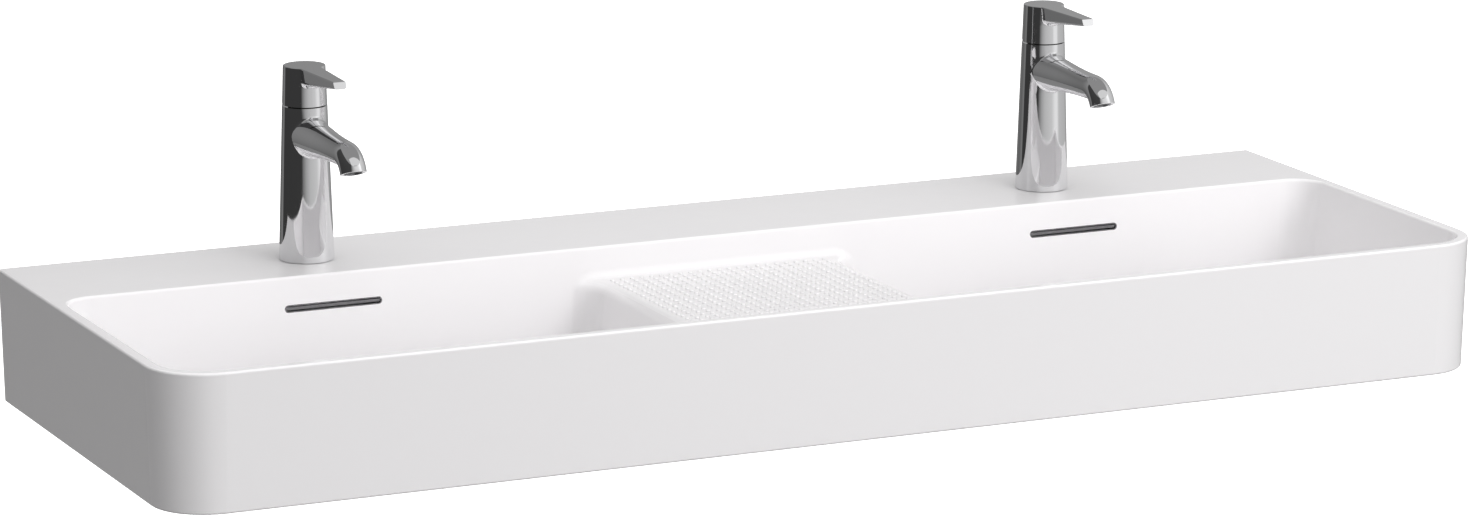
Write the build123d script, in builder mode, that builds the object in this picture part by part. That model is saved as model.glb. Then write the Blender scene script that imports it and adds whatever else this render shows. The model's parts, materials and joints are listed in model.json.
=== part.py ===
from build123d import *
import os
from math import cos, radians, sin, tan

os.makedirs("parts", exist_ok=True)

# A wall-hung double washbasin: one glazed ceramic casting with two bowls and a raised shelf
# between them, two single-lever taps, two overflow trims and two push-open wastes.
# X runs along the wall, -Y points away from it and Z is up. The origin lies on the wall face,
# on the centre line, at the height of the wall fixing holes. All sizes are in millimetres.

# Outside of the ceramic
basin_width = 1200.0
basin_depth = 420.0
basin_height = 115.0
outer_draft = 1.5
front_corner_radius = 50.0
foot_edge_radius = 2.0
rim_edge_radius = 2.0
fixing_drop = 60.0

# The opening, the bowls and the shelf between them
rim_width = 10.5
deck_depth = 128.0
well_depth = 88.0
wall_draft = 7.0
rear_draft = 4.5
well_rear_radius = 27.0
well_foot_radius = 18.0
well_edge_radius = 2.5
shelf_drop = 28.0
shelf_half_width = 112.0
shelf_draft = 10.0
shelf_edge_radius = 10.0
shelf_blend_radius = 8.0
shelf_flare_radius = 27.0
shelf_flare_turn = 60.0
shelf_flare_steps = 3

# Walls and hollows under the glaze
deck_thickness = 14.0
back_thickness = 14.0
skirt_thickness = 13.0
floor_thickness = 10.0
rear_wall_thickness = 11.0
web_thickness = 24.0
hollow_corner_radius = 12.0

# Places of the two sets
bowl_spacing = 700.0
tap_bowl_clearance = 60.0
tap_setback = deck_depth - tap_bowl_clearance
waste_setback = 268.0

# Wall fixing holes: two pairs, one behind each bowl
fixing_pitch = 280.0
fixing_hole_radius = 7.0

# Overflow: a slot in the rear wall, a trim in it and a duct down to the waste hole
slot_length = 87.0
slot_height = 6.5
slot_drop = 27.0
trim_wall = 1.0
trim_bar_height = 2.4
trim_bar_recess = 1.5
trim_bar_thickness = 2.0
duct_margin = 3.0
duct_depth = 9.0
duct_wall = 7.0
duct_head = 7.0
duct_floor_width = 40.0
duct_floor_height = 6.0
duct_floor_cover = 12.0
duct_floor_base = 6.0

# Tap: column and spout
tap_hole_radius = 17.5
tap_foot_radius = 23.5
tap_head_radius = 19.2
tap_seat_gap = 0.5
tap_height = 166.5
handle_height = 34.2
seam_gap = 1.0
spout_drop = 24.5
spout_end_radius = 11.2
spout_taper = 5.0
spout_taper_end = 50.0
spout_straight = 94.0
spout_bend = 19.0
spout_tilt = 22.0
spout_lip = 1.5
spout_fillet = 3.0
water_bore_radius = 7.0
feed_bore_radius = 3.0
feed_bore_wall = 3.5
foot_recess_radius = 16.5
foot_recess_depth = 8.0

# Tap: seal, inlets and fixing under the deck
seal_inner_radius = 18.6
seal_width = 2.8
seal_height = 2.4
inlet_thread_radius = 5.0
inlet_thread_length = 12.0
inlet_bore_radius = 3.5
inlet_offset = 7.0
inlet_setback = 6.0
stud_radius = 4.0
stud_offset = 10.0
stud_thread_depth = 12.0
stud_reach = 62.0
washer_radius = 23.0
washer_slot_width = 31.0
washer_slot_start = 3.0
washer_hole_clearance = 0.3
rubber_thickness = 3.0
plate_thickness = 2.5
nut_across_flats = 13.0
nut_height = 8.0

# Tap: cartridge
cartridge_radius = 13.0
cartridge_depth = 20.3
cartridge_base_thickness = 2.0
cartridge_wall = 1.0
disc_thickness = 3.0
moving_disc_radius = 9.0
disc_port_radius = 2.0
disc_port_circle = 6.5
carrier_rise = 5.7
carrier_slot_width = 6.2
carrier_slot_length = 19.0
pivot_rise = 1.7
pivot_pin_radius = 1.5
pivot_pin_length = 22.0
spindle_width = 8.0
spindle_blade_depth = 4.4
spindle_foot_gap = 1.5
spindle_shoulder_rise = 4.5
nut_thread_radius = 15.5
nut_thread_length = 8.0
nut_collar_radius = 14.2
nut_lip_radius = 10.5
nut_lip_thickness = 3.0
nut_notch_width = 4.0
nut_notch_count = 4

# Tap: lever handle
handle_foot_radius = 19.1
handle_top_radius = 18.0
handle_wall_radius = 17.2
handle_roof = 6.5
handle_socket_depth = 10.0
handle_edge_radius = 0.8
lift_range = 20.0
blade_reach = 82.5
blade_tip_slant = 25.0
blade_root_width = 21.0
blade_tip_width = 11.2
blade_root_height = 17.0
blade_tip_height = 6.6
blade_flank = 3.0
blade_root_rounding = 4.5
blade_tip_rounding = 2.2
blade_fillet = 3.0
screw_radius = 2.5
screw_length = 7.0
screw_socket_flats = 2.5
screw_socket_depth = 3.5
screw_plug_radius = 3.2
screw_plug_depth = 2.5
screw_plug_edge_radius = 0.6

# Tap: aerator in the spout
aerator_radius = 9.25
aerator_depth = 10.0
aerator_recess = 0.6
aerator_wall = 1.3
aerator_seal_height = 1.5
aerator_insert_height = 6.0
aerator_mesh_pitch = 2.6
aerator_mesh_radius = 0.8
aerator_mesh_count = 5

# Waste
waste_hole_radius = 23.0
waste_recess_radius = 33.5
waste_recess_depth = 3.0
waste_flange_radius = 32.5
waste_flange_height = 2.5
waste_seal_height = 1.5
waste_thread_radius = 20.955
waste_bore_radius = 18.5
waste_reach = 148.0
waste_tail_length = 18.0
waste_relief_length = 3.0
waste_relief_depth = 0.8
waste_slot_width = 16.0
waste_slot_height = 8.0
waste_boss_radius = 35.0
lower_seal_radius = 34.0
lower_seal_height = 5.0
lower_seal_chamfer = 1.7
backnut_height = 9.0
backnut_flange_height = 2.5
backnut_across_flats = 54.0
spider_height = 4.0
spider_drop = 26.0
spider_arm_width = 4.0
spider_hub_radius = 7.0
latch_radius = 6.0
latch_height = 14.0
latch_floor = 1.0
stem_radius = 2.5
stem_collar_radius = 5.0
plug_cap_radius = 31.0
plug_cap_thickness = 2.5
plug_crown = 2.0
plug_travel = 6.5
plug_seal_radius = 27.0
plug_seal_width = 3.0
plug_seal_thickness = 2.0

# Clearances between pieces
running_clearance = 0.05
free_gap = 0.3
slip_gap = 0.2

# How far a cut or a block runs past the face it meets
overrun = 5.0

# How near two shapes lie where they count as touching
contact_tolerance = 0.005

# Heights and depths that follow
seam_height = tap_height - handle_height
spout_height = seam_height - spout_drop
cartridge_floor = seam_height - cartridge_depth
pivot_height = seam_height + pivot_rise
carrier_top = seam_height + carrier_rise
spindle_shoulder = carrier_top + spindle_shoulder_rise
spindle_top = tap_height - handle_roof
handle_cavity_top = spindle_top - handle_socket_depth
screw_height = spindle_top - handle_socket_depth / 2
rim_z = fixing_drop
foot_z = rim_z - basin_height
floor_z = rim_z - well_depth
shelf_z = rim_z - shelf_drop
floor_underside_z = floor_z - floor_thickness
duct_roof_z = floor_z - duct_floor_cover
boss_underside_z = duct_roof_z - duct_floor_height - duct_floor_base
front_y = -basin_depth
half_width = basin_width / 2
outer_inset = basin_height * tan(radians(outer_draft))
wall_inset = well_depth * tan(radians(wall_draft))
rear_inset = well_depth * tan(radians(rear_draft))
chamber_front_y = rear_wall_thickness - deck_depth

sides = {"left": -bowl_spacing / 2, "right": bowl_spacing / 2}


def save(piece, name):
    piece.part.label = name
    export_step(piece.part, f"parts/{name}.step")


def plan(height, side, rear, front, rear_radius, front_radius):
    # A rectangle seen from above, symmetric in X, with its own rear and front corner radii.
    with BuildSketch(Plane.XY.offset(height)) as outline:
        with Locations((0, (rear + front) / 2)):
            Rectangle(2 * side, rear - front)
        if front_radius:
            fillet(outline.vertices().group_by(Axis.Y)[0], front_radius)
        if rear_radius:
            fillet(outline.vertices().group_by(Axis.Y)[-1], rear_radius)
    return outline.sketch


def ring(plane, outer_radius, inner_radius, height):
    with BuildPart() as piece:
        with BuildSketch(plane):
            Circle(outer_radius)
            Circle(inner_radius, mode=Mode.SUBTRACT)
        extrude(amount=height)
    return piece


def slot_plane(x):
    # The overflow slot's centre on the leaning rear wall, facing out into the bowl.
    lean = radians(rear_draft)
    wall_y = -deck_depth - slot_drop * tan(lean)
    centre = (x, wall_y, rim_z - slot_drop)
    return Plane(origin=centre, x_dir=(1, 0, 0), z_dir=(0, -cos(lean), sin(lean)))


def ridge_section(y, widening):
    # The shelf's cross-section at one depth, widened by that much on each side.
    ridge_foot = shelf_half_width + (well_depth - shelf_drop) * tan(radians(shelf_draft))
    with BuildSketch(Plane.XZ.offset(-y)) as section:
        with BuildLine():
            Polyline(
                (-ridge_foot - widening, floor_z),
                (-shelf_half_width - widening, shelf_z),
                (shelf_half_width + widening, shelf_z),
                (ridge_foot + widening, floor_z),
                close=True,
            )
        make_face()
        fillet(section.vertices().group_by(Axis.Y)[-1], shelf_edge_radius)
    return section.sketch


def make_ridge():
    # Straight over most of its length, then flared towards the rear wall along an arc and its tangent.
    wall_y = -deck_depth - shelf_drop * tan(radians(rear_draft))
    start_y = wall_y - shelf_flare_radius
    end_y = wall_y + overrun
    sections = []
    for step in range(shelf_flare_steps + 1):
        turn = radians(shelf_flare_turn * step / shelf_flare_steps)
        y = start_y + shelf_flare_radius * sin(turn)
        widening = shelf_flare_radius * (1 - cos(turn))
        sections.append(ridge_section(y, widening))
    end_section = ridge_section(end_y, widening + (end_y - y) * tan(turn))
    with BuildPart() as ridge:
        extrude(sections[0], amount=basin_depth - rim_width + start_y + overrun)
        loft(sections)
        loft([sections[-1], end_section], ruled=True)
    return ridge


def lies_on(edge, solid):
    # Whether the middle of the edge lies on the surface of the solid.
    return min(face.distance_to(edge @ 0.5) for face in solid.faces()) < contact_tolerance


def make_basin():
    foot_half = half_width - outer_inset
    foot_front_y = front_y + outer_inset
    foot_radius = front_corner_radius - outer_inset
    well_half = half_width - rim_width
    well_front_y = front_y + rim_width
    well_front_radius = front_corner_radius - rim_width
    outer_foot = plan(foot_z, foot_half, overrun, foot_front_y, 0, foot_radius)
    outer_rim = plan(rim_z, half_width, overrun, front_y, 0, front_corner_radius)
    well_rim = plan(rim_z, well_half, -deck_depth, well_front_y, well_rear_radius, well_front_radius)
    well_floor = plan(
        floor_z,
        well_half - wall_inset,
        -deck_depth - rear_inset,
        well_front_y + wall_inset,
        well_rear_radius - rear_inset / 2,
        well_front_radius - wall_inset / 2,
    )

    with BuildPart() as well:
        loft([well_rim, well_floor], ruled=True)
        fillet(well.faces().sort_by(Axis.Z)[0].edges(), well_foot_radius)

    with BuildPart() as basin:
        loft([outer_foot, outer_rim], ruled=True)
        split(bisect_by=Plane.XZ)
        foot_edges = basin.faces().sort_by(Axis.Z)[0].edges().sort_by(Axis.Y)[:-1]
        fillet(foot_edges, foot_edge_radius)
        add(well.part, mode=Mode.SUBTRACT)
        rim_face = basin.faces().sort_by(Axis.Z)[-1]
        fillet(rim_face.inner_wires()[0].edges(), well_edge_radius)
        rim_face = basin.faces().sort_by(Axis.Z)[-1]
        fillet(rim_face.outer_wire().edges().sort_by(Axis.Y)[:-1], rim_edge_radius)

        # The shelf is a ridge from the rear wall to the front wall, with a soft blend all round.
        add(make_ridge().part)
        new_edges = basin.edges(Select.LAST)
        fillet([edge for edge in new_edges if lies_on(edge, well.part)], shelf_blend_radius)

        # Hollows open from below: under the bowls, behind them and under the shelf.
        skirt_half = foot_half - skirt_thickness
        skirt_front_y = foot_front_y + skirt_thickness
        skirt_radius = foot_radius - skirt_thickness
        foot_hollow = plan(
            foot_z, skirt_half, -back_thickness, skirt_front_y, hollow_corner_radius, skirt_radius
        )
        extrude(foot_hollow, amount=floor_underside_z - foot_z, mode=Mode.SUBTRACT)
        with BuildSketch(Plane.XY.offset(foot_z)) as chambers:
            chamber_x = (skirt_half + web_thickness / 2) / 2
            chamber_y = (chamber_front_y - back_thickness) / 2
            with Locations((-chamber_x, chamber_y), (chamber_x, chamber_y)):
                Rectangle(skirt_half - web_thickness / 2, -back_thickness - chamber_front_y)
            fillet(chambers.vertices(), hollow_corner_radius)
        extrude(amount=rim_z - deck_thickness - foot_z, mode=Mode.SUBTRACT)
        shelf_hollow = plan(
            foot_z,
            shelf_half_width - skirt_thickness,
            chamber_front_y - back_thickness,
            skirt_front_y,
            hollow_corner_radius,
            hollow_corner_radius,
        )
        extrude(shelf_hollow, amount=shelf_z - floor_thickness - foot_z, mode=Mode.SUBTRACT)

        # Solid material around each waste hole and each overflow duct.
        duct_half = slot_length / 2 + duct_margin
        duct_rear_y = chamber_front_y + duct_depth
        boss_rear_y = duct_rear_y + duct_wall
        strip_half = duct_floor_width / 2 + duct_wall
        with BuildSketch(Plane.XY.offset(boss_underside_z)):
            for x in sides.values():
                with Locations((x, (boss_rear_y + chamber_front_y - overrun) / 2)):
                    Rectangle(2 * (duct_half + duct_wall), boss_rear_y - chamber_front_y + overrun)
        extrude(amount=rim_z - deck_thickness - boss_underside_z)
        with BuildSketch(Plane.XY.offset(boss_underside_z)):
            for x in sides.values():
                with Locations((x, (boss_rear_y - waste_setback) / 2)):
                    Rectangle(2 * strip_half, boss_rear_y + waste_setback)
                with Locations((x, -waste_setback)):
                    Circle(waste_boss_radius)
        extrude(amount=floor_underside_z + overrun - boss_underside_z)

        # The ducts themselves: down behind the bowl, then forward under its floor.
        duct_sill_z = boss_underside_z + duct_floor_base
        duct_top_z = rim_z - slot_drop + slot_height / 2 + duct_head
        with BuildSketch(Plane.XY.offset(duct_sill_z)):
            for x in sides.values():
                with Locations((x, (duct_rear_y + chamber_front_y) / 2)):
                    Rectangle(2 * duct_half, duct_depth)
        extrude(amount=duct_top_z - duct_sill_z, mode=Mode.SUBTRACT)
        with BuildSketch(Plane.XY.offset(duct_sill_z)):
            for x in sides.values():
                with Locations((x, (duct_rear_y - waste_setback) / 2)):
                    Rectangle(duct_floor_width, duct_rear_y + waste_setback)
        extrude(amount=duct_floor_height, mode=Mode.SUBTRACT)

        # Holes for the overflow trims, the wastes, the taps and the wall fixings.
        for x in sides.values():
            with BuildSketch(slot_plane(x).offset(overrun)):
                SlotOverall(slot_length, slot_height)
            slot_reach = rear_wall_thickness + rear_inset + duct_depth / 2
            extrude(amount=-overrun - slot_reach, mode=Mode.SUBTRACT)
        with BuildSketch(Plane.XY.offset(floor_z)):
            with Locations(*[(x, -waste_setback) for x in sides.values()]):
                Circle(waste_recess_radius)
        extrude(amount=-waste_recess_depth, mode=Mode.SUBTRACT)
        with BuildSketch(Plane.XY.offset(floor_z)):
            with Locations(*[(x, -waste_setback) for x in sides.values()]):
                Circle(waste_hole_radius)
        extrude(amount=boss_underside_z - floor_z - overrun, mode=Mode.SUBTRACT)
        with BuildSketch(Plane.XY.offset(rim_z)):
            with Locations(*[(x, -tap_setback) for x in sides.values()]):
                Circle(tap_hole_radius)
        extrude(amount=-deck_thickness - overrun, mode=Mode.SUBTRACT)
        with BuildSketch(Plane.XZ):
            for x in sides.values():
                with Locations((x - fixing_pitch / 2, 0), (x + fixing_pitch / 2, 0)):
                    Circle(fixing_hole_radius)
        extrude(amount=back_thickness + overrun, mode=Mode.SUBTRACT)
    return basin


def make_overflow_trim(x):
    # A racetrack sleeve lining the slot, with a bar set back inside it.
    face = slot_plane(x)
    with BuildPart() as trim:
        with BuildSketch(face):
            SlotOverall(slot_length, slot_height)
            SlotOverall(slot_length - 2 * trim_wall, slot_height - 2 * trim_wall, mode=Mode.SUBTRACT)
        extrude(amount=-rear_wall_thickness + trim_wall)
        with BuildSketch(face.offset(-trim_bar_recess)):
            Rectangle(slot_length - trim_wall, trim_bar_height)
        extrude(amount=-trim_bar_thickness)
    return trim


inlet_places = [(-inlet_offset, inlet_setback), (inlet_offset, inlet_setback)]
disc_ports = [*inlet_places, (0, -disc_port_circle)]


def tap_axis(x):
    # The tap's foot centre on the deck, with its local Z up.
    return Plane(origin=(x, -tap_setback, rim_z))


def tap_profile(x):
    # The tap's upright middle plane: first coordinate forward, second coordinate up from the deck.
    return Plane(origin=(x, -tap_setback, rim_z), x_dir=(0, -1, 0), z_dir=(-1, 0, 0))


def spout_point(turn):
    # A point on the spout's centre line after it has turned down by that many degrees.
    bend = radians(turn)
    return spout_straight + spout_bend * sin(bend), spout_height - spout_bend * (1 - cos(bend))


def outlet_plane(x):
    # The spout's outlet face, looking out along the jet of water.
    turn = 90 - spout_tilt
    forward, up = spout_point(turn)
    jet = Vector(0, -cos(radians(turn)), -sin(radians(turn)))
    centre = Vector(x, -tap_setback - forward, rim_z + up) + jet * spout_lip
    return Plane(origin=centre, x_dir=(1, 0, 0), z_dir=jet)


def make_spout(x):
    # A tapered arm that leaves the column level, bends down and ends in the outlet.
    taper = radians(spout_taper)
    level_radius = spout_end_radius + (spout_straight - spout_taper_end) * tan(taper / 2)
    root_radius = level_radius + spout_taper_end * tan(taper)
    shoulder = (spout_straight, spout_height - spout_end_radius)
    with BuildPart() as spout:
        with BuildSketch(tap_profile(x)):
            with BuildLine():
                Polyline(
                    (spout_taper_end, spout_height - level_radius),
                    (0, spout_height - root_radius),
                    (0, spout_height),
                    (spout_straight, spout_height),
                    shoulder,
                )
                TangentArc(shoulder, (spout_taper_end, spout_height - level_radius), tangent=(-1, 0))
            make_face()
        revolve(axis=Axis((x, 0, rim_z + spout_height), (0, 1, 0)))
        bend_y = -tap_setback - spout_straight
        bend_start = Plane(origin=(x, bend_y, rim_z + spout_height), x_dir=(1, 0, 0), z_dir=(0, -1, 0))
        with BuildSketch(bend_start):
            Circle(spout_end_radius)
        bend_axis = Axis((x, bend_y, rim_z + spout_height - spout_bend), (1, 0, 0))
        revolve(axis=bend_axis, revolution_arc=90 - spout_tilt)
        with BuildSketch(outlet_plane(x).offset(-spout_lip)):
            Circle(spout_end_radius)
        extrude(amount=spout_lip)
    return spout


def make_tap_body(x):
    axis = tap_axis(x)
    spout = make_spout(x)
    with BuildPart() as body:
        with BuildSketch(tap_profile(x)):
            with BuildLine():
                Polyline(
                    (0, tap_seat_gap),
                    (-tap_foot_radius, tap_seat_gap),
                    (-tap_head_radius, seam_height),
                    (0, seam_height),
                    close=True,
                )
            make_face()
        revolve(axis=Axis(axis.origin, (0, 0, 1)))
        add(spout.part)
        joint = body.edges(Select.LAST).filter_by(GeomType.BSPLINE).sort_by(Axis.Y)[-1]
        fillet(joint, spout_fillet)

        # The cartridge chamber and the wider thread above it.
        with BuildSketch(axis.offset(cartridge_floor)):
            Circle(cartridge_radius)
        extrude(amount=seam_height - cartridge_floor, mode=Mode.SUBTRACT)
        with BuildSketch(axis.offset(seam_height)):
            Circle(nut_thread_radius)
        extrude(amount=-nut_thread_length, mode=Mode.SUBTRACT)

        # Water runs from the chamber floor into the spout and out through the aerator socket.
        bore_start = cartridge_radius + feed_bore_wall
        with BuildLine(tap_profile(x)) as channel:
            Line((bore_start, spout_height), (spout_straight, spout_height))
            JernArc((spout_straight, spout_height), (1, 0), spout_bend, -(90 - spout_tilt))
        with BuildSketch(Plane(origin=channel.wire() @ 0, x_dir=(1, 0, 0), z_dir=(0, -1, 0))) as bore:
            Circle(water_bore_radius)
        sweep(path=channel.wire(), mode=Mode.SUBTRACT)
        with BuildSketch(bore.workplanes[0]):
            Circle(feed_bore_radius)
        extrude(amount=disc_port_circle - bore_start, mode=Mode.SUBTRACT)
        with BuildSketch(axis.offset(cartridge_floor)):
            with Locations((0, -disc_port_circle)):
                Circle(disc_port_radius)
        extrude(amount=spout_height - cartridge_floor, mode=Mode.SUBTRACT)
        with BuildSketch(outlet_plane(x)):
            Circle(aerator_radius)
        extrude(amount=-aerator_depth, mode=Mode.SUBTRACT)

        # Underside: recess, seal groove, two hose inlets with their risers, and the stud's thread.
        foot = axis.offset(tap_seat_gap)
        with BuildSketch(foot):
            Circle(foot_recess_radius)
        extrude(amount=foot_recess_depth, mode=Mode.SUBTRACT)
        with BuildSketch(axis):
            Circle(seal_inner_radius + seal_width)
            Circle(seal_inner_radius, mode=Mode.SUBTRACT)
        extrude(amount=seal_height, mode=Mode.SUBTRACT)
        with BuildSketch(foot.offset(foot_recess_depth)):
            with Locations(*inlet_places):
                Circle(inlet_thread_radius)
        extrude(amount=inlet_thread_length, mode=Mode.SUBTRACT)
        with BuildSketch(foot.offset(foot_recess_depth)):
            with Locations(*inlet_places):
                Circle(inlet_bore_radius)
        extrude(amount=cartridge_floor - foot_recess_depth - tap_seat_gap, mode=Mode.SUBTRACT)
        with BuildSketch(foot.offset(foot_recess_depth)):
            with Locations((0, -stud_offset)):
                Circle(stud_radius)
        extrude(amount=stud_thread_depth, mode=Mode.SUBTRACT)
    return body


def make_base_seal(x):
    return ring(tap_axis(x), seal_inner_radius + seal_width, seal_inner_radius, seal_height)


def make_stud(x):
    top = tap_seat_gap + foot_recess_depth + stud_thread_depth
    with BuildPart() as stud:
        with BuildSketch(tap_axis(x).offset(top)):
            with Locations((0, -stud_offset)):
                Circle(stud_radius)
        extrude(amount=-top - stud_reach)
    return stud


def make_horseshoe(x, top, thickness):
    # A washer open at the back, so that the hoses can pass.
    with BuildPart() as washer:
        with BuildSketch(tap_axis(x).offset(top)):
            Circle(washer_radius)
            with Locations((0, washer_radius - washer_slot_start)):
                Rectangle(washer_slot_width, 2 * washer_radius, mode=Mode.SUBTRACT)
            with Locations((0, -stud_offset)):
                Circle(stud_radius + washer_hole_clearance, mode=Mode.SUBTRACT)
        extrude(amount=-thickness)
    return washer


def make_fixing_nut(x):
    top = -deck_thickness - rubber_thickness - plate_thickness
    with BuildPart() as nut:
        with BuildSketch(tap_axis(x).offset(top)):
            with Locations((0, -stud_offset)):
                RegularPolygon(nut_across_flats / 2, 6, major_radius=False)
                Circle(stud_radius, mode=Mode.SUBTRACT)
        extrude(amount=-nut_height)
    return nut


def make_cartridge_housing(x):
    # An open cup that holds the discs and the turning carrier; ports in its floor meet the risers.
    floor = tap_axis(x).offset(cartridge_floor)
    with BuildPart() as housing:
        with BuildSketch(floor):
            Circle(cartridge_radius)
        extrude(amount=carrier_top - cartridge_floor)
        with BuildSketch(floor.offset(cartridge_base_thickness)):
            Circle(cartridge_radius - cartridge_wall)
        extrude(amount=carrier_top - cartridge_floor, mode=Mode.SUBTRACT)
        with BuildSketch(floor):
            with Locations(*disc_ports):
                Circle(disc_port_radius)
        extrude(amount=cartridge_base_thickness, mode=Mode.SUBTRACT)
    return housing


def make_fixed_disc(x):
    with BuildPart() as disc:
        with BuildSketch(tap_axis(x).offset(cartridge_floor + cartridge_base_thickness)):
            Circle(cartridge_radius - cartridge_wall)
            with Locations(*disc_ports):
                Circle(disc_port_radius, mode=Mode.SUBTRACT)
        extrude(amount=disc_thickness)
    return disc


disc_face = cartridge_floor + cartridge_base_thickness + disc_thickness
carrier_foot = disc_face + disc_thickness
carrier_radius = cartridge_radius - cartridge_wall - running_clearance


def make_moving_disc(x):
    # Its pocket joins the ports of the fixed disc.
    with BuildPart() as disc:
        with BuildSketch(tap_axis(x).offset(disc_face)):
            Circle(moving_disc_radius)
        extrude(amount=disc_thickness)
        with BuildSketch(tap_axis(x).offset(disc_face)):
            SlotOverall(2 * disc_port_circle, 2 * disc_port_radius, rotation=90)
        extrude(amount=disc_thickness / 2, mode=Mode.SUBTRACT)
    return disc


def pin_plane(x, half_length):
    return Plane(
        origin=(x - half_length, -tap_setback, rim_z + pivot_height), x_dir=(0, 1, 0), z_dir=(1, 0, 0)
    )


def make_carrier(x):
    # A round block with a slot, in which the spindle swings on its pin.
    with BuildPart() as carrier:
        with BuildSketch(tap_axis(x).offset(carrier_foot)):
            Circle(carrier_radius)
            Rectangle(carrier_slot_width, carrier_slot_length, mode=Mode.SUBTRACT)
        extrude(amount=carrier_top - carrier_foot)
        with BuildSketch(pin_plane(x, pivot_pin_length / 2)):
            Circle(pivot_pin_radius)
        extrude(amount=pivot_pin_length, mode=Mode.SUBTRACT)
    return carrier


def make_pivot_pin(x):
    with BuildPart() as pin:
        with BuildSketch(pin_plane(x, pivot_pin_length / 2)):
            Circle(pivot_pin_radius)
        extrude(amount=pivot_pin_length)
    return pin


def make_spindle(x):
    # A flat blade inside the carrier below a square stem inside the handle.
    axis = tap_axis(x)
    foot = carrier_foot + spindle_foot_gap
    blade_width = carrier_slot_width - 2 * slip_gap
    with BuildPart() as spindle:
        with BuildSketch(axis.offset(foot)):
            Rectangle(blade_width, spindle_blade_depth)
        extrude(amount=spindle_shoulder - foot)
        with BuildSketch(pin_plane(x, blade_width / 2)):
            Circle(spindle_blade_depth / 2 + pivot_pin_radius)
        extrude(amount=blade_width)
        with BuildSketch(axis.offset(spindle_shoulder)):
            Rectangle(spindle_width, spindle_width)
        extrude(amount=spindle_top - spindle_shoulder)
        with BuildSketch(pin_plane(x, blade_width / 2)):
            Circle(pivot_pin_radius + running_clearance)
        extrude(amount=blade_width, mode=Mode.SUBTRACT)
    return spindle


def make_cartridge_nut(x):
    # Screwed into the column, with a lip over the cartridge and four notches for the key.
    axis = tap_axis(x)
    lip_foot = carrier_top + free_gap
    with BuildPart() as nut:
        with BuildSketch(axis.offset(seam_height - nut_thread_length)):
            Circle(nut_thread_radius)
        extrude(amount=nut_thread_length)
        with BuildSketch(axis.offset(seam_height)):
            Circle(nut_collar_radius)
        extrude(amount=lip_foot + nut_lip_thickness - seam_height)
        with BuildSketch(axis.offset(lip_foot)):
            Circle(cartridge_radius)
        extrude(amount=seam_height - nut_thread_length - lip_foot, mode=Mode.SUBTRACT)
        with BuildSketch(axis.offset(lip_foot)):
            Circle(nut_lip_radius)
        extrude(amount=nut_lip_thickness, mode=Mode.SUBTRACT)
        with BuildSketch(axis.offset(lip_foot + nut_lip_thickness)):
            with PolarLocations(nut_collar_radius, nut_notch_count, start_angle=180 / nut_notch_count):
                Rectangle(nut_notch_width / 2, nut_notch_width)
        extrude(amount=-nut_lip_thickness / 2, mode=Mode.SUBTRACT)
    return nut


def blade_section(plane, width, height, rounding):
    # The lever blade's cross-section: flat top, nearly upright flanks, rounded lower corners.
    drawn_in = height * tan(radians(blade_flank))
    with BuildSketch(plane) as section:
        with BuildLine():
            Polyline(
                (-width / 2, 0),
                (width / 2, 0),
                (width / 2 - drawn_in, -height),
                (-width / 2 + drawn_in, -height),
                close=True,
            )
        make_face()
        fillet(section.vertices().group_by(Axis.Y)[0], rounding)
    return section.sketch


def make_handle(x):
    axis = tap_axis(x)
    seam_top = seam_height + seam_gap
    slant = radians(blade_tip_slant)
    top_z = rim_z + tap_height
    root = Plane(origin=(x, -tap_setback, top_z), x_dir=(1, 0, 0), z_dir=(0, -1, 0))
    tip_centre = (x, -tap_setback - blade_reach, top_z)
    tip = Plane(origin=tip_centre, x_dir=(1, 0, 0), z_dir=(0, -cos(slant), sin(slant)))
    with BuildPart() as handle:
        with BuildSketch(tap_profile(x)):
            with BuildLine():
                Polyline(
                    (0, seam_top),
                    (handle_foot_radius, seam_top),
                    (handle_top_radius, tap_height),
                    (0, tap_height),
                    close=True,
                )
            make_face()
        revolve(axis=Axis(axis.origin, (0, 0, 1)))
        root_section = blade_section(root, blade_root_width, blade_root_height, blade_root_rounding)
        tip_section = blade_section(tip, blade_tip_width, blade_tip_height, blade_tip_rounding)
        loft([root_section, tip_section], ruled=True)
        join_y = -tap_setback - handle_foot_radius
        join = [
            edge
            for edge in handle.edges(Select.LAST)
            if edge.center().Z < top_z - handle_edge_radius and edge.center().Y > join_y
        ]
        fillet(join, blade_fillet)
        fillet(handle.faces().sort_by(Axis.Z)[-1].edges(), handle_edge_radius)

        # The hollow over the cartridge nut, and the socket for the square stem.
        with BuildSketch(axis.offset(seam_top)):
            Circle(handle_wall_radius)
        extrude(amount=handle_cavity_top - seam_top, mode=Mode.SUBTRACT)
        with BuildSketch(axis.offset(handle_cavity_top)):
            Rectangle(spindle_width, spindle_width)
        extrude(amount=spindle_top - handle_cavity_top, mode=Mode.SUBTRACT)

        # The rear of the lower rim is cut away at the lift angle, so that the raised handle
        # clears the column.
        lift = radians(lift_range)
        hinge_drop = pivot_height - seam_height - free_gap
        with BuildSketch(tap_profile(x)):
            with BuildLine():
                start = (pivot_height - seam_top - hinge_drop / cos(lift)) / tan(lift)
                reach = 2 * handle_foot_radius
                Polyline(
                    (start, seam_top),
                    (-reach, seam_top + (reach + start) * tan(lift)),
                    (-reach, seam_top - reach),
                    (start, seam_top - reach),
                    close=True,
                )
            make_face()
        extrude(amount=reach, both=True, mode=Mode.SUBTRACT)

        # The grub screw's thread and the recess of its cover, at the back.
        with BuildSketch(screw_plane(x)):
            Circle(screw_radius)
        extrude(amount=-handle_foot_radius, mode=Mode.SUBTRACT)
        with BuildSketch(screw_plane(x)):
            Circle(screw_plug_radius)
        extrude(amount=spindle_width / 2 + screw_length - handle_foot_radius, mode=Mode.SUBTRACT)
    return handle


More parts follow.
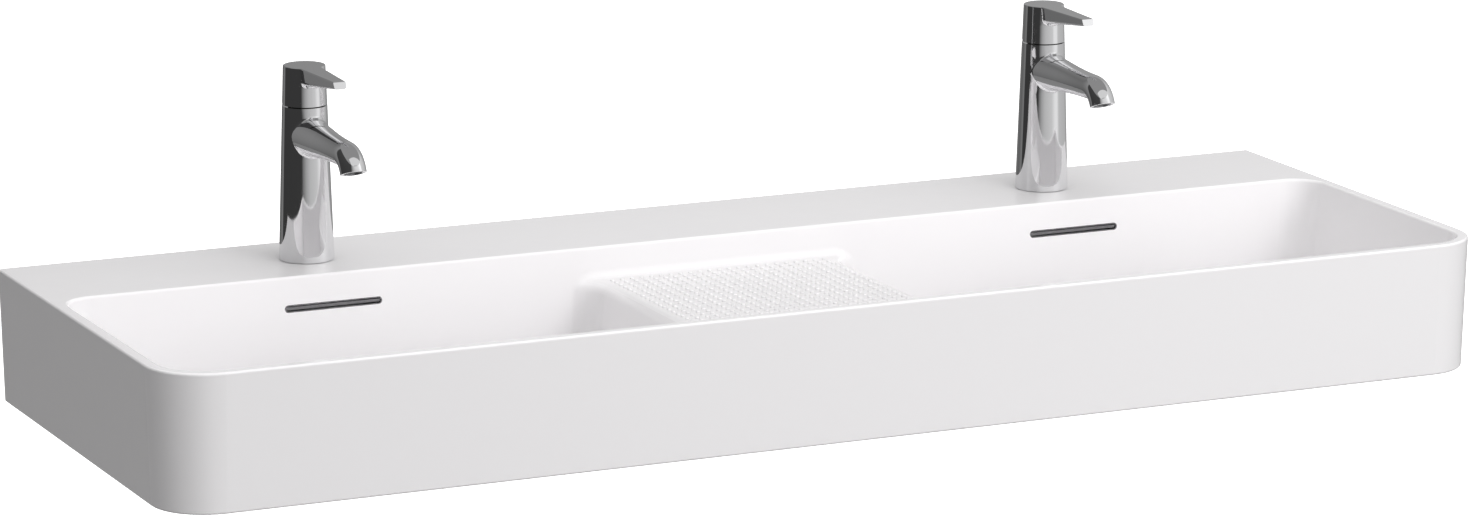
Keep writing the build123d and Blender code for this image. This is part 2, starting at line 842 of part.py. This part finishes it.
def screw_plane(x):
    # Behind the handle, facing backwards along the grub screw.
    centre = (x, handle_foot_radius - tap_setback, rim_z + screw_height)
    return Plane(origin=centre, x_dir=(-1, 0, 0), z_dir=(0, 1, 0))


def make_handle_screw(x):
    start = screw_plane(x).offset(spindle_width / 2 - handle_foot_radius)
    with BuildPart() as screw:
        with BuildSketch(start):
            Circle(screw_radius)
        extrude(amount=screw_length)
        with BuildSketch(start.offset(screw_length)):
            RegularPolygon(screw_socket_flats / 2, 6, major_radius=False)
        extrude(amount=-screw_socket_depth, mode=Mode.SUBTRACT)
    return screw


def make_screw_plug(x):
    start = screw_plane(x).offset(spindle_width / 2 + screw_length - handle_foot_radius)
    with BuildPart() as plug:
        with BuildSketch(start):
            Circle(screw_plug_radius)
        extrude(amount=screw_plug_depth)
        fillet(plug.faces().sort_by(Axis.Y)[-1].edges(), screw_plug_edge_radius)
    return plug


def make_aerator_housing(x):
    start = outlet_plane(x).offset(-aerator_recess)
    height = aerator_depth - aerator_recess - aerator_seal_height
    return ring(start, aerator_radius, aerator_radius - aerator_wall, -height)


def make_aerator_seal(x):
    return ring(
        outlet_plane(x).offset(aerator_seal_height - aerator_depth),
        aerator_radius,
        water_bore_radius,
        -aerator_seal_height,
    )


def make_aerator_insert(x):
    inner = aerator_radius - aerator_wall
    start = outlet_plane(x).offset(-2 * aerator_recess)
    with BuildPart() as insert:
        with BuildSketch(start):
            Circle(inner)
            with HexLocations(aerator_mesh_pitch / 2, aerator_mesh_count, aerator_mesh_count):
                Circle(aerator_mesh_radius, mode=Mode.SUBTRACT)
        extrude(amount=-aerator_insert_height)
    return insert


def waste_axis(x):
    # The waste's centre at the level of the bowl floor.
    return Plane(origin=(x, -waste_setback, floor_z))


seat_drop = waste_recess_depth
flange_foot = waste_seal_height - seat_drop
flange_top = flange_foot + waste_flange_height
boss_drop = floor_z - boss_underside_z
backnut_top = -boss_drop - lower_seal_height
barrel_end = well_depth - waste_reach


def make_waste_body(x):
    axis = waste_axis(x)
    slot_centre = -(duct_floor_cover + duct_floor_height / 2)
    with BuildPart() as body:
        with BuildSketch(axis.offset(flange_foot)):
            Circle(waste_flange_radius)
        extrude(amount=waste_flange_height)
        fillet(body.faces().sort_by(Axis.Z)[-1].edges(), waste_flange_height / 2)
        with BuildSketch(axis.offset(flange_foot)):
            Circle(waste_thread_radius)
        extrude(amount=barrel_end - flange_foot)
        with BuildSketch(axis.offset(flange_top)):
            Circle(waste_bore_radius)
        extrude(amount=barrel_end - flange_top, mode=Mode.SUBTRACT)
        with BuildSketch(axis.offset(barrel_end + waste_tail_length)):
            Circle(waste_thread_radius + overrun)
            Circle(waste_thread_radius - waste_relief_depth, mode=Mode.SUBTRACT)
        extrude(amount=waste_relief_length, mode=Mode.SUBTRACT)
        with BuildSketch(axis.offset(slot_centre - waste_slot_height / 2)):
            across = 2 * (waste_thread_radius + overrun)
            Rectangle(waste_slot_width, across)
            Rectangle(across, waste_slot_width)
        extrude(amount=waste_slot_height, mode=Mode.SUBTRACT)

        # The cross inside the barrel that carries the latch.
        with BuildSketch(axis.offset(-spider_drop)):
            Circle(spider_hub_radius)
            arm_length = 2 * (waste_bore_radius + slip_gap)
            Rectangle(arm_length, spider_arm_width)
            Rectangle(spider_arm_width, arm_length)
        extrude(amount=-spider_height)
    return body


def make_upper_seal(x):
    start = waste_axis(x).offset(-seat_drop)
    return ring(start, waste_flange_radius, waste_hole_radius, waste_seal_height)


def make_lower_seal(x):
    with BuildPart() as seal:
        with BuildSketch(waste_axis(x).offset(-boss_drop)):
            Circle(lower_seal_radius)
            Circle(waste_thread_radius, mode=Mode.SUBTRACT)
        extrude(amount=-lower_seal_height)
        chamfer(seal.faces().sort_by(Axis.Z)[0].outer_wire().edges(), lower_seal_chamfer)
    return seal


def make_backnut(x):
    top = waste_axis(x).offset(backnut_top)
    with BuildPart() as nut:
        with BuildSketch(top):
            Circle(waste_boss_radius)
        extrude(amount=-backnut_flange_height)
        with BuildSketch(top):
            RegularPolygon(backnut_across_flats / 2, 6, major_radius=False)
        extrude(amount=-backnut_height)
        with BuildSketch(top):
            Circle(waste_thread_radius)
        extrude(amount=-backnut_height, mode=Mode.SUBTRACT)
    return nut


def make_latch(x):
    foot = waste_axis(x).offset(-spider_drop)
    with BuildPart() as latch:
        with BuildSketch(foot):
            Circle(latch_radius)
        extrude(amount=latch_height)
        with BuildSketch(foot.offset(latch_height)):
            Circle(stem_radius + running_clearance)
        extrude(amount=latch_floor - latch_height, mode=Mode.SUBTRACT)
    return latch


cap_foot = flange_top + free_gap + plug_seal_thickness + plug_travel


def make_plug_cap(x):
    axis = waste_axis(x)
    with BuildPart() as cap:
        with BuildSketch(Plane(origin=axis.origin, x_dir=(1, 0, 0), z_dir=(0, -1, 0))):
            with BuildLine():
                rim = (plug_cap_radius, cap_foot + plug_cap_thickness)
                crown = (0, cap_foot + plug_cap_thickness + plug_crown)
                Line((0, cap_foot), (plug_cap_radius, cap_foot))
                Line((plug_cap_radius, cap_foot), rim)
                TangentArc(crown, rim, tangent=(1, 0))
                Line(crown, (0, cap_foot))
            make_face()
        revolve(axis=Axis(axis.origin, (0, 0, 1)))
    return cap


def make_plug_stem(x):
    foot = latch_floor + free_gap + plug_travel - spider_drop
    with BuildPart() as stem:
        with BuildSketch(waste_axis(x).offset(foot)):
            Circle(stem_radius)
        extrude(amount=cap_foot - foot)
        with BuildSketch(waste_axis(x).offset(cap_foot)):
            Circle(stem_collar_radius)
        extrude(amount=-plug_seal_thickness)
    return stem


def make_plug_seal(x):
    inner_radius = plug_seal_radius - plug_seal_width
    return ring(waste_axis(x).offset(cap_foot), plug_seal_radius, inner_radius, -plug_seal_thickness)


washer_top = -deck_thickness
makers = {
    "overflow_trim": make_overflow_trim,
    "tap_body": make_tap_body,
    "tap_base_seal": make_base_seal,
    "tap_stud": make_stud,
    "tap_rubber_washer": lambda x: make_horseshoe(x, washer_top, rubber_thickness),
    "tap_clamp_plate": lambda x: make_horseshoe(x, washer_top - rubber_thickness, plate_thickness),
    "tap_fixing_nut": make_fixing_nut,
    "cartridge_housing": make_cartridge_housing,
    "cartridge_fixed_disc": make_fixed_disc,
    "cartridge_moving_disc": make_moving_disc,
    "cartridge_carrier": make_carrier,
    "cartridge_pivot_pin": make_pivot_pin,
    "cartridge_spindle": make_spindle,
    "cartridge_nut": make_cartridge_nut,
    "lever_handle": make_handle,
    "handle_screw": make_handle_screw,
    "handle_screw_plug": make_screw_plug,
    "aerator_housing": make_aerator_housing,
    "aerator_insert": make_aerator_insert,
    "aerator_seal": make_aerator_seal,
    "waste_body": make_waste_body,
    "waste_upper_seal": make_upper_seal,
    "waste_lower_seal": make_lower_seal,
    "waste_backnut": make_backnut,
    "waste_latch": make_latch,
    "waste_plug_cap": make_plug_cap,
    "waste_plug_stem": make_plug_stem,
    "waste_plug_seal": make_plug_seal,
}

basin_body = make_basin()
save(basin_body, "basin_body")
for side, x in sides.items():
    for name, make in makers.items():
        save(make(x), f"{side}_{name}")
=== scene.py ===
import json
import math

import bpy
from mathutils import Matrix, Vector


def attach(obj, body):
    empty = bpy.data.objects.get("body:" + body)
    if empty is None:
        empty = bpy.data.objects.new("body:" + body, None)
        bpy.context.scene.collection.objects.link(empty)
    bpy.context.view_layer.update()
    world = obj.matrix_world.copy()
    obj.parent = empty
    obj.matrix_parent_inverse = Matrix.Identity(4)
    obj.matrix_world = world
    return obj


# Lengths are in metres in the row's frame: X along the wall, -Y into the room, Z up.
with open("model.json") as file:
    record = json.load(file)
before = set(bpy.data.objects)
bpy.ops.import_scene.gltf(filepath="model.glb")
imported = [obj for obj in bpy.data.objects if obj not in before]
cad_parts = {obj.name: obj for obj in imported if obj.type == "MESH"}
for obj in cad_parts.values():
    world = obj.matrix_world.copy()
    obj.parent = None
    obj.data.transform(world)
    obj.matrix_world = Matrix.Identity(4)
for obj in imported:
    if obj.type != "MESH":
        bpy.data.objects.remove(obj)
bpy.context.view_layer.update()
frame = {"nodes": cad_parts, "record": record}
print("frame loaded with", len(frame["nodes"]), "nodes")


# Camera at the photograph's place and angle, with its roll in radians and its lens in millimetres.
cameraPlan = {
    "place": (-2.06146, -4.63405, 1.16155),
    "forward": (0.40991, 0.88501, -0.22075),
    "roll": 0.00214,
    "lens": 143.5,
    "farthest": 60,
}


def makeCamera(plan):
    forward = Vector(plan["forward"]).normalized()
    level = Vector((forward.y, -forward.x, 0)).normalized()
    upright = level.cross(forward)
    right = level * math.cos(plan["roll"]) + upright * math.sin(plan["roll"])
    up = upright * math.cos(plan["roll"]) - level * math.sin(plan["roll"])
    data = bpy.data.cameras.new("photoCamera")
    data.lens = plan["lens"]
    data.clip_end = plan["farthest"]
    camera = bpy.data.objects.new("photoCamera", data)
    turn = Matrix((right, up, -forward)).transposed().to_4x4()
    camera.matrix_world = Matrix.Translation(plan["place"]) @ turn
    bpy.context.scene.collection.objects.link(camera)
    bpy.context.scene.camera = camera


makeCamera(cameraPlan)
bpy.context.scene.view_settings.view_transform = "Standard"
print("camera made")


# Small helpers for shader trees.
def newMaterial(name):
    material = bpy.data.materials.new(name)
    material.use_nodes = True
    return material, material.node_tree


def feed(tree, socket, value):
    # Links another node's output to the socket, or sets the socket to a plain value.
    if isinstance(value, bpy.types.NodeSocket):
        tree.links.new(value, socket)
    else:
        socket.default_value = value


def setInputs(tree, node, values):
    for name, value in values.items():
        feed(tree, node.inputs[name], value)


def addNode(tree, kind, values):
    node = tree.nodes.new(kind)
    setInputs(tree, node, values)
    return node


def addMath(tree, operation, *values):
    node = tree.nodes.new("ShaderNodeMath")
    node.operation = operation
    for socket, value in zip(node.inputs, values):
        feed(tree, socket, value)
    return node.outputs["Value"]


def addRange(tree, values):
    return addNode(tree, "ShaderNodeMapRange", values).outputs["Result"]


def splitAxes(tree, vector):
    return addNode(tree, "ShaderNodeSeparateXYZ", {"Vector": vector}).outputs


def addGlow(tree, colour, strength):
    return addNode(tree, "ShaderNodeEmission", {"Color": colour, "Strength": strength}).outputs["Emission"]


# Where the sockets in use stand in a mix node, which has a set of them for each kind.
mixSockets = {
    "FLOAT": {"share": 0, "first": 2, "second": 3, "result": 0},
    "RGBA": {"share": 0, "first": 6, "second": 7, "result": 2},
}


def addMix(tree, kind, share, first, second):
    node = tree.nodes.new("ShaderNodeMix")
    node.data_type = kind
    sockets = mixSockets[kind]
    feed(tree, node.inputs[sockets["share"]], share)
    feed(tree, node.inputs[sockets["first"]], first)
    feed(tree, node.inputs[sockets["second"]], second)
    return node.outputs[sockets["result"]]


# Noise values that every finish shares. The noise between low and high spans smoothest to roughest.
unevenPlan = {
    "patchDetail": 3,
    "rippleDetail": 2,
    "low": 0.3,
    "high": 0.7,
}


def makeUnevenGroup(plan):
    # Slow changes of roughness over the surface, and a fine ripple for a bump.
    group = bpy.data.node_groups.new("unevenSurface", "ShaderNodeTree")
    for title in ("Patch Scale", "Ripple Scale", "Smoothest", "Roughest"):
        group.interface.new_socket(title, in_out="INPUT", socket_type="NodeSocketFloat")
    for title in ("Roughness", "Height"):
        group.interface.new_socket(title, in_out="OUTPUT", socket_type="NodeSocketFloat")
    entry = group.nodes.new("NodeGroupInput").outputs
    result = group.nodes.new("NodeGroupOutput")
    place = group.nodes.new("ShaderNodeTexCoord").outputs["Object"]
    patch = addNode(group, "ShaderNodeTexNoise", {
        "Vector": place, "Scale": entry["Patch Scale"], "Detail": plan["patchDetail"],
    })
    ripple = addNode(group, "ShaderNodeTexNoise", {
        "Vector": place, "Scale": entry["Ripple Scale"], "Detail": plan["rippleDetail"],
    })
    roughness = addRange(group, {
        "Value": patch.outputs["Fac"], "From Min": plan["low"], "From Max": plan["high"],
        "To Min": entry["Smoothest"], "To Max": entry["Roughest"],
    })
    setInputs(group, result, {"Roughness": roughness, "Height": ripple.outputs["Fac"]})
    return group


unevenSurface = makeUnevenGroup(unevenPlan)


def addUneven(tree, shader, patchScale, plan):
    # Puts the shared group in a material, with its own values, on Roughness and Normal.
    uneven = tree.nodes.new("ShaderNodeGroup")
    uneven.node_tree = unevenSurface
    smoothest, roughest = plan["rough"]
    setInputs(tree, uneven, {
        "Patch Scale": patchScale, "Ripple Scale": plan["ripple"],
        "Smoothest": smoothest, "Roughest": roughest,
    })
    bump = addNode(tree, "ShaderNodeBump", {"Distance": plan["depth"], "Height": uneven.outputs["Height"]})
    setInputs(tree, shader, {
        "Normal": bump.outputs["Normal"], "Roughness": uneven.outputs["Roughness"],
    })
    return uneven.outputs["Roughness"]


# White glaze over the casting, duller on the shelf, where its colour is darker as painted shade for the
# small shadows between the raised dots. The wall face and the foot are bare clay.
glazePlan = {
    "colour": (0.82, 0.807, 0.816, 1),
    "patch": 9,
    "ripple": 70,
    "rough": (0.1, 0.17),
    "depth": 0.00004,
    # Darker shelf colour: painted shade for the small shadows between the raised dots.
    "shelfShadeColour": (0.735, 0.724, 0.732, 1),
    "shelfRough": 0.5,
    "shelfMiddle": 0.035,
    "shelfReach": 0.005,
    "sloping": 0.7,
    "level": 0.95,
    "clayColour": (0.72, 0.68, 0.62, 1),
    "clayRough": 0.85,
    "wallEdge": -0.0004,
    "footEdge": -0.0546,
}


def makeGlaze(plan):
    material, tree = newMaterial("whiteGlaze")
    shader = tree.nodes["Principled BSDF"]
    uneven = addUneven(tree, shader, plan["patch"], plan)
    place = splitAxes(tree, tree.nodes.new("ShaderNodeTexCoord").outputs["Object"])
    wall = addMath(tree, "GREATER_THAN", place["Y"], plan["wallEdge"])
    foot = addMath(tree, "LESS_THAN", place["Z"], plan["footEdge"])
    bare = addMath(tree, "MAXIMUM", wall, foot)
    # The shelf is what looks up at about its height.
    near = addMath(tree, "COMPARE", place["Z"], plan["shelfMiddle"], plan["shelfReach"])
    facing = splitAxes(tree, tree.nodes.new("ShaderNodeNewGeometry").outputs["Normal"])
    flat = addRange(tree, {"Value": facing["Z"], "From Min": plan["sloping"], "From Max": plan["level"]})
    shelf = addMath(tree, "MULTIPLY", near, flat)
    # Painted shade: the glaze colour is darker on the shelf, for the small shadows between the dots.
    glazeWithShelfShade = addMix(tree, "RGBA", shelf, plan["colour"], plan["shelfShadeColour"])
    dull = addMix(tree, "FLOAT", shelf, uneven, plan["shelfRough"])
    setInputs(tree, shader, {
        "Base Color": addMix(tree, "RGBA", bare, glazeWithShelfShade, plan["clayColour"]),
        "Roughness": addMix(tree, "FLOAT", bare, dull, plan["clayRough"]),
    })
    return material


# Finishes that differ only in their values. Ripple is a noise scale, and depth is the ripple's height.
finishPatch = 60
finishes = {
    "chrome": {
        "colour": (0.8, 0.8, 0.81), "metal": 1, "rough": (0.03, 0.06), "ripple": 300, "depth": 0.000002,
    },
    "rubber": {
        "colour": (0.025, 0.025, 0.026), "metal": 0, "rough": (0.55, 0.75), "ripple": 900, "depth": 0.00006,
    },
    "steel": {
        "colour": (0.56, 0.56, 0.57), "metal": 1, "rough": (0.28, 0.42), "ripple": 1200, "depth": 0.00003,
    },
    "brass": {
        "colour": (0.62, 0.46, 0.22), "metal": 1, "rough": (0.22, 0.38), "ripple": 1500, "depth": 0.00002,
    },
    "disc_ceramic": {
        "colour": (0.78, 0.76, 0.72), "metal": 0, "rough": (0.25, 0.35), "ripple": 2000, "depth": 0.00001,
    },
    "cartridge_plastic": {
        "colour": (0.72, 0.72, 0.7), "metal": 0, "rough": (0.35, 0.5), "ripple": 900, "depth": 0.00004,
    },
    "plug_plastic": {
        "colour": (0.17, 0.17, 0.18), "metal": 0, "rough": (0.2, 0.3), "ripple": 700, "depth": 0.00002,
    },
    "aerator_plastic": {
        "colour": (0.05, 0.052, 0.056), "metal": 0, "rough": (0.35, 0.5), "ripple": 1500, "depth": 0.00003,
    },
    "nut_plastic": {
        "colour": (0.04, 0.04, 0.042), "metal": 0, "rough": (0.4, 0.6), "ripple": 900, "depth": 0.00006,
    },
    "dark_trim": {
        "colour": (0.3, 0.3, 0.31), "metal": 1, "rough": (0.12, 0.22), "ripple": 700, "depth": 0.000006,
    },
    # Near-black brass for the ring nut: painted shade for the dark seam that it sits in.
    "seam_shade_brass": {
        "colour": (0.09, 0.08, 0.07), "metal": 1, "rough": (0.4, 0.6), "ripple": 900, "depth": 0.00002,
    },
    "latch_plastic": {
        "colour": (0.75, 0.75, 0.74), "metal": 0, "rough": (0.3, 0.45), "ripple": 900, "depth": 0.00004,
    },
}


def makeFinish(name, plan):
    material, tree = newMaterial(name)
    shader = tree.nodes["Principled BSDF"]
    setInputs(tree, shader, {"Base Color": (*plan["colour"], 1), "Metallic": plan["metal"]})
    addUneven(tree, shader, finishPatch, plan)
    return material


materials = {name: makeFinish(name, plan) for name, plan in finishes.items()}
materials["glaze"] = makeGlaze(glazePlan)

# Pieces given darker finishes: the trim in the overflow slot is a darker metal than the chrome, and the
# ring nut in the seam is near black as painted shade for the dark seam line.
darkenedFinishes = {
    "left_overflow_trim": "dark_trim", "right_overflow_trim": "dark_trim",
    "left_cartridge_nut": "seam_shade_brass", "right_cartridge_nut": "seam_shade_brass",
}
for entry in frame["record"]["subparts"]:
    finish = darkenedFinishes.get(entry["node"], entry["material_slot"])
    for holder in frame["nodes"][entry["node"]].material_slots:
        holder.material = materials[finish]
print("materials made:", len(materials))


def newPiece(name, points, faces, slot, body):
    # A smooth mesh piece in the row's frame, with its finish and the body that it rides on.
    mesh = bpy.data.meshes.new(name)
    mesh.from_pydata(points, [], faces)
    mesh.materials.append(materials[slot])
    mesh.shade_smooth()
    piece = bpy.data.objects.new(name, mesh)
    bpy.context.scene.collection.objects.link(piece)
    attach(piece, body)
    return piece


# The raised dots on the shelf, in a square grid.
# A dot's foot is sunk in the shelf. Each ring above it has a share of the radius and one of the height.
reliefPlan = {
    "halfWidth": 0.101,
    "rear": -0.141,
    "front": -0.397,
    "top": 0.032,
    "pitch": 0.0091,
    "radius": 0.0022,
    "height": 0.0015,
    "sink": 0.0001,
    "corners": 10,
    "rings": ((0.86, 0.5), (0.5, 0.9)),
}


def addDot(points, faces, x, y, plan):
    corners = plan["corners"]
    rings = [(1, -plan["sink"])] + [(share, rise * plan["height"]) for share, rise in plan["rings"]]
    first = len(points)
    for share, rise in rings:
        reach = share * plan["radius"]
        for corner in range(corners):
            angle = 2 * math.pi * corner / corners
            across, along = reach * math.cos(angle), reach * math.sin(angle)
            points.append((x + across, y + along, plan["top"] + rise))
    points.append((x, y, plan["top"] + plan["height"]))
    for level in range(len(rings) - 1):
        for corner in range(corners):
            a = first + level * corners + corner
            b = first + level * corners + (corner + 1) % corners
            faces.append((a, b, b + corners, a + corners))
    last = first + (len(rings) - 1) * corners
    for corner in range(corners):
        faces.append((last + corner, last + (corner + 1) % corners, len(points) - 1))
    faces.append(tuple(first + corner for corner in reversed(range(corners))))


def makeRelief(plan):
    points, faces = [], []
    rows = int((plan["rear"] - plan["front"]) / plan["pitch"])
    columns = int(plan["halfWidth"] / plan["pitch"])
    for row in range(rows + 1):
        for column in range(-columns, columns + 1):
            addDot(points, faces, column * plan["pitch"], plan["rear"] - row * plan["pitch"], plan)
    newPiece("shelf_relief", points, faces, "glaze", "basin")


makeRelief(reliefPlan)
print("shelf relief made")


# Plain pale floor under a pale world that is brighter overhead.
studioPlan = {
    "floorHeight": -0.85,
    "floorSize": 40,
    "floorColour": (0.88, 0.88, 0.88, 1),
    "bounceColour": (0.25, 0.25, 0.25, 1),
    "floorRough": 0.9,
    "floorGlow": 0.9,
    "horizonLevel": 0.02,
    "zenithLevel": 1.24,
    "shownLevel": 1,
}
white = (1, 1, 1, 1)


def makeFloor(plan):
    bpy.ops.mesh.primitive_plane_add(size=plan["floorSize"], location=(0, 0, plan["floorHeight"]))
    floor = bpy.context.object
    floor.name = "floor"
    material, tree = newMaterial("paleFloor")
    shader = tree.nodes["Principled BSDF"]
    # The camera sees the pale floor. Less light comes back up from it, as over a floor far below.
    seen = tree.nodes.new("ShaderNodeLightPath").outputs["Is Camera Ray"]
    colour = addMix(tree, "RGBA", seen, plan["bounceColour"], plan["floorColour"])
    setInputs(tree, shader, {"Base Color": colour, "Roughness": plan["floorRough"]})
    glow = addGlow(tree, white, addMath(tree, "MULTIPLY", seen, plan["floorGlow"]))
    lift = tree.nodes.new("ShaderNodeAddShader")
    tree.links.new(shader.outputs["BSDF"], lift.inputs[0])
    tree.links.new(glow, lift.inputs[1])
    setInputs(tree, tree.nodes["Material Output"], {"Surface": lift.outputs["Shader"]})
    floor.data.materials.append(material)


def makeWorld(plan):
    world = bpy.data.worlds.new("paleWorld")
    bpy.context.scene.world = world
    world.use_nodes = True
    tree = world.node_tree
    direction = splitAxes(tree, tree.nodes.new("ShaderNodeTexCoord").outputs["Generated"])
    dome = addRange(tree, {
        "Value": direction["Z"], "To Min": plan["horizonLevel"], "To Max": plan["zenithLevel"],
    })
    # Camera, glossy and transmission rays see a plain level instead of the dome.
    path = tree.nodes.new("ShaderNodeLightPath").outputs
    seen = addMath(tree, "MAXIMUM", path["Is Camera Ray"], path["Is Glossy Ray"])
    seen = addMath(tree, "MAXIMUM", seen, path["Is Transmission Ray"])
    strength = addRange(tree, {"Value": seen, "To Min": dome, "To Max": plan["shownLevel"]})
    setInputs(tree, tree.nodes["Background"], {"Color": white, "Strength": strength})


# Soft lamps. Glossy surfaces don't see them, only the studio wall and the cards below.
lampPlans = {
    "keyLamp": {"place": (1.9, -2.6, 2.3), "target": (0.1, -0.25, 0.0), "width": 1.6, "watts": 17},
    "topLamp": {"place": (0.0, -1.1, 2.5), "target": (0.0, -0.25, 0.0), "width": 1.8, "watts": 18},
    "frontLamp": {"place": (0.9, -3.6, 0.7), "target": (0.1, -0.25, 0.0), "width": 1.6, "watts": 54},
}


def addLamp(name, plan):
    data = bpy.data.lights.new(name, "AREA")
    data.shape = "DISK"
    data.size = plan["width"]
    data.energy = plan["watts"]
    lamp = bpy.data.objects.new(name, data)
    lamp.location = plan["place"]
    lamp.rotation_mode = "QUATERNION"
    lamp.rotation_quaternion = (Vector(plan["target"]) - Vector(plan["place"])).to_track_quat("-Z", "Y")
    lamp.visible_glossy = False
    bpy.context.scene.collection.objects.link(lamp)


def glossyOnly(name, points, faces, material):
    # A stage mesh that only glossy surfaces see, for the bands in the chrome.
    mesh = bpy.data.meshes.new(name)
    mesh.from_pydata(points, [], faces)
    mesh.materials.append(material)
    card = bpy.data.objects.new(name, mesh)
    bpy.context.scene.collection.objects.link(card)
    card.visible_camera = False
    card.visible_diffuse = False
    card.visible_transmission = False
    card.visible_shadow = False


# A round studio wall. Its level follows the angle round the basin: 0 at the front, 90 at the right.
wallPlan = {
    "radius": 2.6,
    "low": -0.84,
    "high": 2.3,
    "sides": 96,
    "levels": (
        (-180, 0.17), (-160, 0.14), (-136, 0.24), (-133, 0.045), (-43, 0.045), (-37, 0.2),
        (-24, 0.42), (-8, 0.58), (25, 0.7), (42, 0.95), (52, 0.95), (62, 0.62),
        (100, 0.55), (125, 0.34), (160, 0.3), (180, 0.17),
    ),
    "lowShade": 0.85,
    "highShade": 1.3,
}


def makeWallMaterial(plan):
    material, tree = newMaterial("studioWall")
    place = splitAxes(tree, tree.nodes.new("ShaderNodeTexCoord").outputs["Object"])
    ahead = addMath(tree, "MULTIPLY", place["Y"], -1)
    angle = addMath(tree, "ARCTAN2", place["X"], ahead)
    share = addRange(tree, {"Value": angle, "From Min": -math.pi, "From Max": math.pi})
    ramp = addNode(tree, "ShaderNodeValToRGB", {"Fac": share})
    marks = ramp.color_ramp.elements
    for index, (degrees, level) in enumerate(plan["levels"]):
        spot = (degrees + 180) / 360
        # A new ramp has two marks of its own.
        mark = marks[index] if index < 2 else marks.new(spot)
        mark.position = spot
        mark.color = (level, level, level, 1)
    shade = addRange(tree, {
        "Value": place["Z"], "From Min": plan["low"], "From Max": plan["high"],
        "To Min": plan["lowShade"], "To Max": plan["highShade"],
    })
    glow = addGlow(tree, ramp.outputs["Color"], shade)
    setInputs(tree, tree.nodes["Material Output"], {"Surface": glow})
    return material


def makeStudioWall(plan):
    points, faces = [], []
    for side in range(plan["sides"]):
        angle = 2 * math.pi * side / plan["sides"]
        x, y = plan["radius"] * math.sin(angle), -plan["radius"] * math.cos(angle)
        points += [(x, y, plan["low"]), (x, y, plan["high"])]
        a, b = 2 * side, 2 * ((side + 1) % plan["sides"])
        faces.append((a, b, b + 1, a + 1))
    glossyOnly("studioWall", points, faces, makeWallMaterial(plan))


# Level cards above the basin.
cardPlans = {
    "greyCeiling": {"left": -2.6, "right": 2.6, "front": -2.6, "rear": 2.6, "height": 2.29, "level": 0.3},
    "frontStrip": {"left": -1.6, "right": 2.4, "front": -2.4, "rear": -0.9, "height": 2.25, "level": 0.75},
}


def addCard(name, plan):
    material, tree = newMaterial(name)
    setInputs(tree, tree.nodes["Material Output"], {"Surface": addGlow(tree, white, plan["level"])})
    corners = (("left", "front"), ("right", "front"), ("right", "rear"), ("left", "rear"))
    points = [(plan[side], plan[end], plan["height"]) for side, end in corners]
    glossyOnly(name, points, [(0, 1, 2, 3)], material)


makeFloor(studioPlan)
makeWorld(studioPlan)
for name, plan in lampPlans.items():
    addLamp(name, plan)
makeStudioWall(wallPlan)
for name, plan in cardPlans.items():
    addCard(name, plan)
print("studio made")
